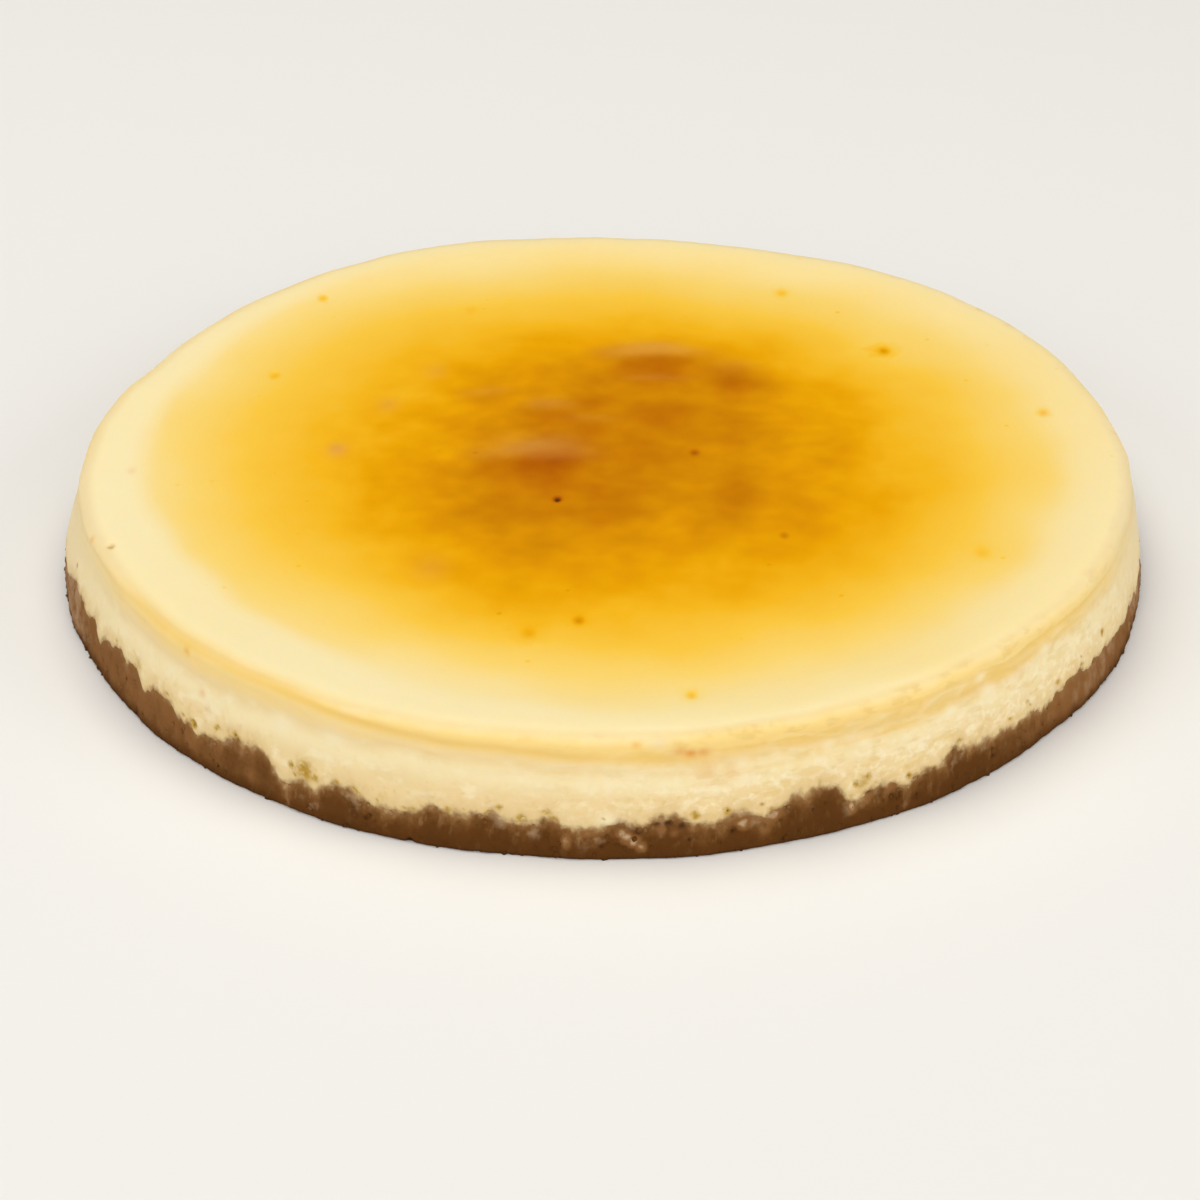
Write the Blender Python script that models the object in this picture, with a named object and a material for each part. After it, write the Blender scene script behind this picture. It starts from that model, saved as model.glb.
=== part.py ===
"""A whole baked cheesecake: a pressed biscuit crumb base under a layer of set cheese custard.

Units are metres, +Z is up, and the origin is at the middle of the underside, so the cake stands
on the plane z = 0. Each layer is a solid of revolution that is then made uneven in the way that
a cake leaves its tin: an outline that isn't quite round, a crumb line that rises and falls round
the side, a dished top with low blisters, and a lip above a soft crease.
"""

import math

import bmesh
import bpy

MM = 0.001

# Driving sizes
CAKE_RADIUS = 120.0 * MM  # underside, where the cake is widest
CAKE_HEIGHT = 24.7 * MM  # up to the crest of the lip
CRUST_HEIGHT = 7.7 * MM  # mean height of the crumb line at the side
LAYER_GAP = 0.3 * MM  # between the crumb base and the custard that rests on it
SEGMENTS = 120  # facets round each layer

# The lip, and the crease that the tin left under it
LIP_RADIUS = 114.4 * MM
LIP_SPREAD = 2.0 * MM  # how far the lip's side stands out past its crest
CREASE_DROP = 2.9 * MM  # from the crest down to the crease
CREASE_DEPTH = 0.5 * MM  # how far the crease cuts in behind the lip
DISH_DEPTH = 0.8 * MM  # how far the middle of the top sinks below the lip
DISH_START = 100.0 * MM  # radius where the top begins to rise towards the lip

# The side and the underside's edge
EDGE_ROUND = 1.2 * MM
CRUST_SLOPE = 0.7 * MM  # the crumb wall leans in by this much up to the crumb line
WALL_WAVE = 0.35 * MM  # how far the side bulges in and out

# Rings inside the layers, as shares of the cake's radius
TOP_RINGS = (0.0, 0.1, 0.2, 0.3, 0.4, 0.5, 0.62, 0.73)
JOINT_RINGS = (0.985, 0.88, 0.79, 0.5, 0.0)
UNDERSIDE_RINGS = (0.0, 0.5, 0.93)
JOINT_FLAT = 0.79  # inside this share of the radius, the joint between the layers is level

# The outline's departure from a circle: waves round the cake, amplitude, direction in degrees
OUTLINE_WAVES = (
    (2, 1.04 * MM, 168.0),
    (3, 0.54 * MM, 58.0),
    (4, 0.41 * MM, 122.0),
    (5, 0.62 * MM, 209.0),
    (6, 0.48 * MM, -48.0),
)

# Where the crumb line stands high: direction in degrees, rise, half width in degrees
CRUST_HUMPS = (
    (16.0, 1.2 * MM, 6.0),
    (43.0, 1.7 * MM, 8.0),
    (71.0, 0.9 * MM, 5.0),
    (98.0, 1.5 * MM, 6.0),
    (129.0, 1.1 * MM, 7.0),
    (160.0, 1.6 * MM, 6.0),
    (187.0, 0.8 * MM, 5.0),
    (214.0, 2.2 * MM, 9.0),
    (237.0, 0.7 * MM, 6.0),
    (268.0, 0.6 * MM, 4.0),
    (291.0, 1.5 * MM, 5.0),
    (306.0, 1.3 * MM, 3.5),
    (325.0, 1.6 * MM, 6.0),
    (348.0, 0.7 * MM, 5.0),
)

# The smaller rise and fall of the crumb line: waves round the cake, amplitude, direction
CRUST_WAVES = ((9, 0.22 * MM, 25.0), (17, 0.28 * MM, 80.0), (23, 0.22 * MM, 140.0))

# Low blisters in the baked skin: x, y, radius, height
BLISTERS = (
    (12.0 * MM, 47.0 * MM, 12.0 * MM, 1.1 * MM),
    (-14.0 * MM, 1.0 * MM, 13.0 * MM, 0.9 * MM),
    (30.0 * MM, 35.0 * MM, 8.0 * MM, 0.4 * MM),
    (-17.0 * MM, 20.0 * MM, 9.0 * MM, 0.4 * MM),
)


def clear_scene():
    """Takes away whatever is in the file, such as the startup cube."""
    for obj in list(bpy.data.objects):
        bpy.data.objects.remove(obj)


def smoothstep(low, high, value):
    """0 below low, 1 above high, and a smooth step between them."""
    share = min(max((value - low) / (high - low), 0.0), 1.0)
    return share * share * (3.0 - 2.0 * share)


def wave_sum(waves, angle):
    """The sum of the cosines that a table of (count, amplitude, direction) describes."""
    return sum(
        amplitude * math.cos(count * angle - math.radians(direction))
        for count, amplitude, direction in waves
    )


def outline_share(angle):
    """How far the outline reaches at an angle, as a share of a true circle's radius."""
    return 1.0 + wave_sum(OUTLINE_WAVES, angle) / CAKE_RADIUS


def crust_rise(angle):
    """How far the crumb line stands above its mean height at an angle."""
    rise = wave_sum(CRUST_WAVES, angle)
    for direction, height, half_width in CRUST_HUMPS:
        turn = math.degrees(angle) - direction
        turn = (turn + 180.0) % 360.0 - 180.0
        rise += height * math.exp(-((turn / half_width) ** 2))
    return rise - 0.3 * MM


def joint_share(radius):
    """How much of the crumb line's rise reaches a radius: none inside, all of it at the side."""
    return smoothstep(JOINT_FLAT * CAKE_RADIUS, 0.985 * CAKE_RADIUS, radius)


def wall_bulge(angle, height):
    """The slow in and out of the side, which differs a little from bottom to top."""
    turn = height / CAKE_HEIGHT
    return WALL_WAVE * (
        0.6 * math.cos(13 * angle + 2.0 * turn) + 0.4 * math.cos(31 * angle - 3.0 * turn)
    )


def blister_lift(x, y):
    """The height that the blisters add to the top at a point."""
    lift = 0.0
    for centre_x, centre_y, radius, height in BLISTERS:
        distance = math.hypot(x - centre_x, y - centre_y) / radius
        lift += height * math.exp(-(distance**2) * 2.0)
    return lift


def custard_profile():
    """Radius and height of the custard's rings, from the middle of the top down to the joint."""
    crest = CAKE_HEIGHT
    middle = crest - DISH_DEPTH
    lip_side = LIP_RADIUS + LIP_SPREAD
    wall_foot = CAKE_RADIUS - CRUST_SLOPE
    joint = CRUST_HEIGHT + LAYER_GAP
    crease = crest - CREASE_DROP
    top = [(share * CAKE_RADIUS, middle) for share in TOP_RINGS]
    lip = [
        (DISH_START, middle + 0.1 * MM),
        (LIP_RADIUS - 6.0 * MM, crest - 0.5 * MM),
        (LIP_RADIUS - 2.2 * MM, crest - 0.15 * MM),
        (LIP_RADIUS, crest),
        (LIP_RADIUS + 0.7 * LIP_SPREAD, crest - 0.5 * MM),
        (lip_side, crest - 1.5 * MM),
        (lip_side - CREASE_DEPTH, crease),
        (lip_side - 0.1 * MM, crease - 1.2 * MM),
    ]
    wall = [
        (lip_side + share * (wall_foot - lip_side), joint + rise * (crease - joint))
        for share, rise in ((0.45, 0.65), (0.75, 0.32), (0.95, 0.12), (1.0, 0.0))
    ]
    underside = [(share * CAKE_RADIUS, joint) for share in JOINT_RINGS]
    return top + lip + wall + underside


def crust_profile():
    """Radius and height of the crumb base's rings, from the middle of its underside to its top."""
    underside = [(share * CAKE_RADIUS, 0.0) for share in UNDERSIDE_RINGS]
    wall = [
        (CAKE_RADIUS - EDGE_ROUND, 0.0),
        (CAKE_RADIUS - 0.25 * EDGE_ROUND, 0.4 * EDGE_ROUND),
        (CAKE_RADIUS, 1.6 * EDGE_ROUND),
        (CAKE_RADIUS - 0.3 * CRUST_SLOPE, 0.58 * CRUST_HEIGHT),
        (CAKE_RADIUS - 0.7 * CRUST_SLOPE, 0.84 * CRUST_HEIGHT),
        (CAKE_RADIUS - CRUST_SLOPE, CRUST_HEIGHT),
    ]
    joint = [(share * CAKE_RADIUS, CRUST_HEIGHT) for share in JOINT_RINGS]
    return underside + wall + joint


def turned_layer(profile):
    """Turns a profile round Z into a closed bmesh, with one vertex at each end on the axis."""
    mesh = bmesh.new()
    corners = [mesh.verts.new((radius, 0.0, height)) for radius, height in profile]
    edges = [mesh.edges.new(pair) for pair in zip(corners, corners[1:])]
    bmesh.ops.spin(
        mesh,
        geom=corners + edges,
        cent=(0.0, 0.0, 0.0),
        axis=(0.0, 0.0, 1.0),
        angle=math.tau,
        steps=SEGMENTS,
        use_merge=True,
    )
    bmesh.ops.remove_doubles(mesh, verts=mesh.verts, dist=0.001 * MM)
    bmesh.ops.recalc_face_normals(mesh, faces=mesh.faces)
    return mesh


def spread_outward(vertex, height):
    """Gives a vertex its uneven outline, from how far out and how high it was turned."""
    radius = math.hypot(vertex.co.x, vertex.co.y)
    angle = math.atan2(vertex.co.y, vertex.co.x)
    reach = radius * outline_share(angle)
    reach += wall_bulge(angle, height) * smoothstep(0.93, 0.97, radius / CAKE_RADIUS)
    vertex.co.x = reach * math.cos(angle)
    vertex.co.y = reach * math.sin(angle)


def shape_custard(mesh):
    """Makes the turned custard uneven: its foot follows the crumb line and its top blisters."""
    joint = CRUST_HEIGHT + LAYER_GAP
    crease = CAKE_HEIGHT - CREASE_DROP
    for vertex in mesh.verts:
        height = vertex.co.z
        radius = math.hypot(vertex.co.x, vertex.co.y)
        rise = crust_rise(math.atan2(vertex.co.y, vertex.co.x)) * joint_share(radius)
        vertex.co.z += rise * (1.0 - smoothstep(joint, crease, height))
        if height > crease and radius < LIP_RADIUS:
            vertex.co.z += blister_lift(vertex.co.x, vertex.co.y)
        spread_outward(vertex, height)


def shape_crust(mesh):
    """Makes the turned crumb base uneven: its wall stretches up to the crumb line."""
    for vertex in mesh.verts:
        height = vertex.co.z
        radius = math.hypot(vertex.co.x, vertex.co.y)
        rise = crust_rise(math.atan2(vertex.co.y, vertex.co.x)) * joint_share(radius)
        vertex.co.z += rise * height / CRUST_HEIGHT
        spread_outward(vertex, height)


def food_material(name, colour, roughness):
    """A plain finish of one colour for a layer."""
    material = bpy.data.materials.new(name)
    material.use_nodes = True
    shader = material.node_tree.nodes["Principled BSDF"]
    shader.inputs["Base Color"].default_value = (*colour, 1.0)
    shader.inputs["Roughness"].default_value = roughness
    shader.inputs["Metallic"].default_value = 0.0
    material.diffuse_color = (*colour, 1.0)
    return material


def layer_object(name, mesh, material):
    """Puts a finished bmesh into the scene as a named, smooth-shaded object."""
    data = bpy.data.meshes.new(name)
    mesh.to_mesh(data)
    mesh.free()
    data.materials.append(material)
    data.shade_smooth()
    data.set_sharp_from_angle(angle=math.radians(40.0))
    obj = bpy.data.objects.new(name, data)
    bpy.context.scene.collection.objects.link(obj)
    return obj


def centre_on_origin(objects):
    """Shifts the layers together, so that the middle of their common box is on the Z axis."""
    points = [vertex.co for obj in objects for vertex in obj.data.vertices]
    shift_x = -(max(p.x for p in points) + min(p.x for p in points)) / 2.0
    shift_y = -(max(p.y for p in points) + min(p.y for p in points)) / 2.0
    for point in points:
        point.x += shift_x
        point.y += shift_y


def build():
    """Builds the crumb base and the custard that rests on it."""
    clear_scene()
    crust = turned_layer(crust_profile())
    shape_crust(crust)
    custard = turned_layer(custard_profile())
    shape_custard(custard)
    layers = (
        layer_object(
            "biscuit_base",
            crust,
            food_material("baked_crumb", (0.17, 0.075, 0.025), 0.85),
        ),
        layer_object(
            "cheese_filling",
            custard,
            food_material("set_custard", (0.93, 0.72, 0.35), 0.45),
        ),
    )
    centre_on_origin(layers)


build()
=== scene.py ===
"""Looks of a whole baked cheesecake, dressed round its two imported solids.

The custard and the crumb base are each one closed mesh, turned on the cake's axis and then shaped
point by point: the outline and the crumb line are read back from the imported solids, and the skin,
lip, creases, pits and crumbs are worked out here. Loose crumbs are a third piece.
"""

from __future__ import annotations

import logging
import random
from collections.abc import Callable, Iterable, Iterator, Sequence
from dataclasses import dataclass, field
from enum import Enum
from itertools import chain
from math import atan2, ceil, cos, degrees, exp, hypot, modf, pi, radians, sin, tau

import bmesh
import bpy
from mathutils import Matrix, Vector, noise
from mathutils.bvhtree import BVHTree
from mathutils.kdtree import KDTree


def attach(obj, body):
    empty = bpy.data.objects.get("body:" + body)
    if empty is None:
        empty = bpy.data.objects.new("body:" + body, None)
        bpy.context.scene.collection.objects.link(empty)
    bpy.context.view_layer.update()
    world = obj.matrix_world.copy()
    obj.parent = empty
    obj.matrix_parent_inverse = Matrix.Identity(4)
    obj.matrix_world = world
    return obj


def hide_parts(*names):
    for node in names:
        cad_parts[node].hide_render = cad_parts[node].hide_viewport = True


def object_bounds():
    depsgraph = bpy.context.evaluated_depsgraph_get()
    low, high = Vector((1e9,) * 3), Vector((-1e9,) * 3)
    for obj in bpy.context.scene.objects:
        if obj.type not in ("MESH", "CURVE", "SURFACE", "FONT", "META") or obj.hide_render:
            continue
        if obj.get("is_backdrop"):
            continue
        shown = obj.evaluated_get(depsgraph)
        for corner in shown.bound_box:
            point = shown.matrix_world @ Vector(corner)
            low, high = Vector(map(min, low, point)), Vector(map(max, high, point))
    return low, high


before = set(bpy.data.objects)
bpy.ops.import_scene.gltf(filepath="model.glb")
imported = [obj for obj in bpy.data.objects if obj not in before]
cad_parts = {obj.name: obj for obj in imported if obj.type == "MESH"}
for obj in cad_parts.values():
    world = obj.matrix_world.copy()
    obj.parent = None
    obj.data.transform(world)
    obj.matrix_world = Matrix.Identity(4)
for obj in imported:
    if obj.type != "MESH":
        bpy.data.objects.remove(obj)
CAD_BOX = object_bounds()

LOG = logging.getLogger("cheesecake")
MM = 0.001
BODY = "root"
TOP_STRETCH = (1.0, 1.5, 1.0)
MIX_SHARE, MIX_FIRST, MIX_SECOND, MIX_RESULT = 0, 6, 7, 2


class Layer(Enum):
    """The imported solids, by node name."""

    BASE = "biscuit_base"
    FILLING = "cheese_filling"


class Slot(Enum):
    """Names of the material slots."""

    CRUMB = "baked_crumb"
    CUSTARD = "set_custard"


class Mark(Enum):
    """What a point of a mesh carries for its finish to read.

    EDGE is in millimetres above the crumb line; the others go from 0 to 1.
    """

    WALL = "wall"
    EDGE = "edge"
    SCORCH = "scorch"
    # Pits and holes, whose dark cores are painted shade.
    HOLLOW = "hollow"
    # Real pale spots and smears, and the painted highlight on blister ridges.
    PALE = "pale"
    # Pale rim that the tin kept; also painted highlight on the lip's crest and the side's ridges, and
    # painted shade at the side's ends.
    RIM = "rim"
    # Painted shade in the creases, folds and dents of the side.
    GROOVE = "groove"
    # Custard smeared thinly over the crumb; on the custard's side, a painted highlight on raised lumps.
    HAZE = "haze"


Triple = tuple[float, float, float]
Profile = list[tuple[float, float]]
Marks = dict[Mark, float]
Dabs = Iterable["Dab"]


def ease(low: float, high: float, value: float) -> float:
    """Steps smoothly from 0 at low to 1 at high."""
    share = min(max((value - low) / (high - low), 0.0), 1.0)
    return share * share * (3.0 - 2.0 * share)


def bell(distance: float, width: float) -> float:
    """Gives a smooth bump of height 1 that fades to about a third at the given width."""
    return exp(-((distance / width) ** 2))


def steps(start: float, stop: float, size: float) -> list[float]:
    """Divides a length evenly into steps of at most a size, and leaves out its end."""
    count = max(1, ceil(abs(stop - start) / size))
    return [start + (stop - start) * k / count for k in range(count)]


def wobble(point: Vector, size: float, height: float | None = None) -> float:
    """Reads noise from about -1 to 1, with a grain in millimetres that may differ up and down."""
    wide, tall = size * MM, (height or size) * MM
    return noise.noise(Vector((point.x / wide, point.y / wide, point.z / tall)))


def turn_from(angle: float, direction: float) -> float:
    """Gives how far an angle in radians is from a direction in degrees, in degrees."""
    return (degrees(angle) - direction + 180.0) % 360.0 - 180.0


def toward(angle: float, direction: float, width: float) -> float:
    """Gives 1 in a direction and about a third a width away from it, both in degrees."""
    return bell(turn_from(angle, direction), width)


@dataclass(frozen=True)
class RingCurve:
    """A size that changes smoothly round the cake, from values at equal turns."""

    values: tuple[float, ...]

    def at(self, angle: float) -> float:
        """Reads the size in a direction in radians, with a cubic between the values."""
        t, first = modf((angle / tau) % 1.0 * len(self.values))
        a, b, c, d = (self.values[(int(first) + k) % len(self.values)] for k in (-1, 0, 1, 2))
        return b + 0.5 * t * (c - a + t * (2 * a - 5 * b + 4 * c - d + t * (3 * (b - c) + d - a)))


def outward(angle: float, reach: float = 1, height: float = 0) -> Vector:
    """Gives the point at a reach from the axis in a direction."""
    return Vector((cos(angle) * reach, sin(angle) * reach, height))


def ray_tree(layer: Layer) -> BVHTree:
    """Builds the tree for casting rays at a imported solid."""
    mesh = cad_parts[layer.value].data
    return BVHTree.FromPolygons([v.co for v in mesh.vertices], [tuple(p.vertices) for p in mesh.polygons])


@dataclass(frozen=True)
class Swell:
    """Something strongest in one direction; the direction and half width are in degrees."""

    direction: float
    half_width: float
    size: float

    def at(self, angle: float) -> float:
        """Reads it in a direction in radians."""
        return self.size * toward(angle, self.direction, self.half_width)


# Teeth of the crumb line in millimetres, and notches where they are below 0.
TEETH = tuple(
    Swell(*row)
    for row in (
        (196.5, 2, 1.5), (199, 4.5, 3), (205, 2, 2.2), (207, 0.8, -1.6), (211.5, 3, 2.3),
        (214, 0.7, -1), (216, 1.7, 2.2), (218, 0.8, -1.1), (220, 1.2, 1.7), (222.5, 1.4, 2.4),
        (226, 0.8, 1), (227, 0.7, -1.2), (232.5, 1.8, 2.9), (235.5, 1.7, 2.2), (238.5, 1.6, -3.7),
        (242, 1, -2.2), (245.6, 2, 1.8), (249.5, 3, -0.7), (254, 1, 1.2), (257.5, 2, 0.3),
        (260, 0.7, 1.1), (265, 0.8, 1.4), (268, 1.5, -1), (270, 1.2, -0.4), (276, 1.5, 1.6),
        (279.5, 1.6, -1.2), (282, 0.8, 0.9), (285, 1.1, -1.6), (288, 0.7, 1.5), (291, 2, 2.3),
        (294, 1.2, -2.4), (299.5, 1.1, -2), (303.5, 1.1, -1.4), (305.5, 1.2, 1.6), (310, 3.5, 0.8),
        (318.5, 1, -1), (321.5, 2.4, -1.4), (325, 0.6, 0.5), (327, 1, -1), (333.5, 3, -0.5),
        (339, 4.5, 0.3), (346, 2, -2.2),
    )
)


@dataclass
class CakeForm:
    """The cake's outline, crumb line and heights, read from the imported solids.

    The lip and the radius are distances from the axis; the joint is the crumb line's mean height,
    the crest the lip's, and the crease is under the lip.
    """

    readings: int = 120
    foot_height: float = 1.9 * MM
    crumb_share: float = 0.988
    lip_share: float = 0.9533
    joint_flat: float = 0.79
    crease_drop: float = 3.3 * MM
    wall_lean: float = 3 * MM
    crumb_lean: float = 0.5 * MM
    setback: Swell = Swell(168, 34, 1.2 * MM)
    dent: Swell = Swell(158.5, 5.5, 0.8 * MM)
    spread: Swell = Swell(285, 46, 0.7 * MM)
    outline: RingCurve = field(init=False)
    crumb_line: RingCurve = field(init=False)
    radius: float = field(init=False)
    joint: float = field(init=False)
    crest: float = field(init=False)
    crease: float = field(init=False)
    lip: float = field(init=False)

    def __post_init__(self) -> None:
        """Casts the rays and averages what they find."""
        base, filling = ray_tree(Layer.BASE), ray_tree(Layer.FILLING)
        turns = [tau * k / self.readings for k in range(self.readings)]
        reaches = [base.ray_cast(Vector((0, 0, self.foot_height)), outward(turn))[3] for turn in turns]
        rim = [(cos(turn) * reach, sin(turn) * reach) for turn, reach in zip(turns, reaches)]
        down, lines, crests = Vector((0, 0, -1)), [], []
        for tree, share, tops in ((base, self.crumb_share, lines), (filling, self.lip_share, crests)):
            tops += [tree.ray_cast(Vector((x * share, y * share, 1)), down)[0].z for x, y in rim]
        self.outline, self.crumb_line = RingCurve(tuple(reaches)), RingCurve(tuple(lines))
        self.radius, self.joint, self.crest = (sum(v) / len(v) for v in (reaches, lines, crests))
        self.crease, self.lip = self.crest - self.crease_drop, self.lip_share * self.radius

    def wall(self, height: float) -> float:
        """Gives the side's mean radius.

        Args:
            height: Height in the level cake.

        Returns:
            Radius in metres.
        """
        line = self.radius - self.crumb_lean
        if height < self.joint:
            return line + self.crumb_lean * (1 - ease(0.1 * self.joint, self.joint, height))
        drop = min(max((self.crease - height) / (self.crease - self.joint), 0.0), 1.0)
        return line - self.wall_lean * (1 - drop) ** 1.4

    def place(self, radius: float, angle: float, height: float) -> Vector:
        """Moves a point of the level, round cake to where the real one has it.

        Args:
            radius: Its distance from the axis.
            angle: Its direction in radians.
            height: Its height.

        Returns:
            The point in the frame.
        """
        reach = radius * self.outline.at(angle) / self.radius
        back = self.setback.at(angle) + self.dent.at(angle)
        reach -= back * ease(self.joint, self.crease, height) * ease(0.5, 1, radius / self.lip)
        low = 1 - ease(0, self.joint, height)
        reach += self.spread.at(angle) * low * ease(0.9, 1, radius / self.radius)
        inward = ease(self.joint_flat * self.radius, 0.98 * self.radius, radius)
        rise = (self.crumb_line.at(angle) - self.joint) * inward
        if height < self.joint:
            rise *= height / self.joint
        else:
            rise *= 1 - ease(self.joint, self.crease, height)
        return outward(angle, reach, height + rise)

    def end_share(self, angle: float) -> float:
        """Tells how even the side is below the lip in a direction, from 0 to 1; this even, slightly darker
        tone is painted shade where the side turns away from the front light.
        """
        ends = toward(angle, 192, 18) + toward(angle, 350, 16)
        return min(ends + 0.6 * toward(angle, 90, 70), 1.0)

    def haze(self, angle: float) -> float:
        """Gives how much custard is smeared thinly over the crumb in a direction, from 0 to 1."""
        left = max(0.5 * toward(angle, 204, 32), 0.95 * toward(angle, 196, 11))
        return max(left, 0.65 * toward(angle, 330, 14), 0.85 * toward(angle, 345, 9))

    def sag(self, angle: float) -> float:
        """Gives how far the lines under the lip hang down in a direction, in millimetres."""
        return 1.6 * toward(angle, 294, 26) - 2.4 * toward(angle, 226, 23)

    def crumb_edge(self, point: Vector, height: float) -> float:
        """Tells custard from crumb at the side, along the ragged line between them.

        Args:
            point: A point of the round cake.
            height: Its height.

        Returns:
            Metres above the line; crumb shows below 0.
        """
        angle = atan2(point.y, point.x)
        named = sum(tooth.at(angle) for tooth in TEETH)
        teeth = 2.2 * (1 - 0.8 * toward(angle, 270, 80)) * wobble(point, 4.4, 11)
        grains = 0.8 * wobble(point, 1.6, 3.4) + 0.5 * wobble(point, 0.8, 1.2)
        return height - self.joint + (teeth + grains - named) * MM


@dataclass(frozen=True)
class Blister:
    """A low bubble in the baked skin, darker in its middle, with a ridge at its far rim that carries a
    painted highlight.

    Sizes are in millimetres and the turn is in degrees.
    """

    x: float
    y: float
    width: float
    depth: float
    height: float
    scorch: float
    pale: float
    turn: float = 0

    def read(self, x: float, y: float) -> Triple:
        """Reads the blister.

        Args:
            x: Millimetres across.
            y: Millimetres away from the front.

        Returns:
            Height in millimetres, scorch and painted highlight.
        """
        tilt = radians(self.turn)
        dx, dy = x - self.x, y - self.y
        across = (dx * cos(tilt) + dy * sin(tilt)) / (0.5 * self.width)
        along = (dy * cos(tilt) - dx * sin(tilt)) / (0.5 * self.depth)
        distance = hypot(across, along)
        if distance > 1.6:
            return 0.0, 0.0, 0.0
        dome = max(0.0, 1 - distance * distance) ** 2
        far = max(0.0, along / max(distance, 0.001))
        ridge = bell(distance - 0.62, 0.34) * far * far
        core = bell(hypot(across, along + 0.12), 0.56)
        # The far ridge's paleness is a painted highlight.
        return self.height * (dome + 0.4 * ridge), self.scorch * core, self.pale * ridge


BLISTERS = tuple(
    Blister(*row)
    for row in (
        (11.8, 45, 34, 22, 0.9, 0.3, 0.5), (-15.6, -6, 34, 29, 0.8, 0.22, 0.42),
        (31, 37, 24, 22, 0.3, 0.19, 0.08), (12, 35, 24, 8, 0.2, 0, 0.15),
        (-12.5, 20, 17, 15, 0.25, 0.11, 0.2), (-26, 27, 18, 11, 0.25, 0.04, 0.12, 20),
        (-3, 13, 20, 14, 0.2, 0.06, 0.1), (16, 20, 26, 18, 0.2, 0, 0), (27, 6, 22, 14, 0.2, 0.04, 0),
        (31, -18, 18, 12, 0.2, 0.07, 0), (-4, -29, 22, 14, 0.2, 0.06, 0),
    )
)


@dataclass(frozen=True)
class Cloud:
    """A soft part of the skin that browned more than the rest, or less where it is below 0.

    The place and the reach are in millimetres.
    """

    x: float
    y: float
    reach: float
    browning: float

    def read(self, x: float, y: float) -> float:
        """Reads the browning at a point, in millimetres."""
        return self.browning * bell(hypot(x - self.x, y - self.y), self.reach)


CLOUDS = tuple(
    Cloud(*row)
    for row in (
        (19, -90, 16, 0.03), (87, -28, 14, -0.025), (20, 35, 15, 0.15), (-12, 46, 16, 0.05),
        (-48, 70, 36, 0.05), (-35, 8, 15, -0.11), (57, 49, 14, -0.08), (4, -38, 13, -0.07),
        (30, 18, 9, 0.05), (13, 51, 9, 0.04), (5, -31, 8, -0.05), (-6, 0, 8, 0.04), (10, 22, 8, -0.03),
        (40, 52, 12, 0.05), (-44, 25, 14, -0.05), (24, -12, 10, -0.04), (-47, -40, 9, -0.05),
        (-50, -12, 8, -0.04), (-12, -43, 9, 0.05), (75, -65, 18, -0.04), (-96, 10, 22, 0.04),
        (45, -42, 19, 0.06), (-26, -55, 14, 0.08), (-35, -92, 26, -0.06), (30, -96, 30, -0.04),
        (-4, 4, 11, 0.06), (55, 6, 15, -0.06),
    )
)


@dataclass(frozen=True)
class Dab:
    """A small feature: a pit, a spot of colour, or both, some times as tall as it is wide.

    On the top it lies at so many millimetres across and away from the front, on the side at a
    direction in degrees and a height in millimetres. The radius and the depth are in millimetres.
    """

    mark: Mark
    across: float
    up: float
    radius: float
    strength: float
    depth: float = 0
    tall: float = 1


def dabs(**rows: Sequence[tuple[float, ...]]) -> tuple[Dab, ...]:
    """Makes the dabs of each mark from rows of their other values."""
    return tuple(Dab(Mark[mark], *row) for mark, group in rows.items() for row in group)


TOP_DABS = dabs(
    SCORCH=(
        (-10, -20.4, 0.8, 0.7, 0.5), (65.5, 52.1, 1.3, 0.34, 0.15), (99, 19.6, 1.1, 0.27, 0.1),
        (-68, 79.6, 1.2, 0.24, 0.1), (-76, 38.6, 1.2, 0.16, 0.1), (-32, 73.6, 1.9, 0.11, 0),
        (43, 83.6, 1.4, 0.15, 0), (79, -43.4, 1.5, 0.1, 0.1), (90, 73.6, 0.8, 0.2, 0),
        (20, 0.6, 0.9, 0.35, 0.2), (38, -36.4, 1, 0.3, 0.1), (-5, -71.4, 1, 0.3, 0.2),
        (-15, -76.4, 1.4, 0.16, 0.2), (17, -99.4, 1, 0.2, 0.2),
    ),
    PALE=(
        (-59, 1.6, 2, 0.7, -0.25), (-49, 23.6, 2.2, 0.3, -0.1), (-39, 40.6, 2.4, 0.22, -0.1),
        (-36, -50.4, 3.5, 0.2, 0), (-103, -8.4, 1, 0.25, 0.1),
    ),
    HOLLOW=(
        (-103, -42.4, 0.9, 0.35, 0.3),
    ),
)
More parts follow.
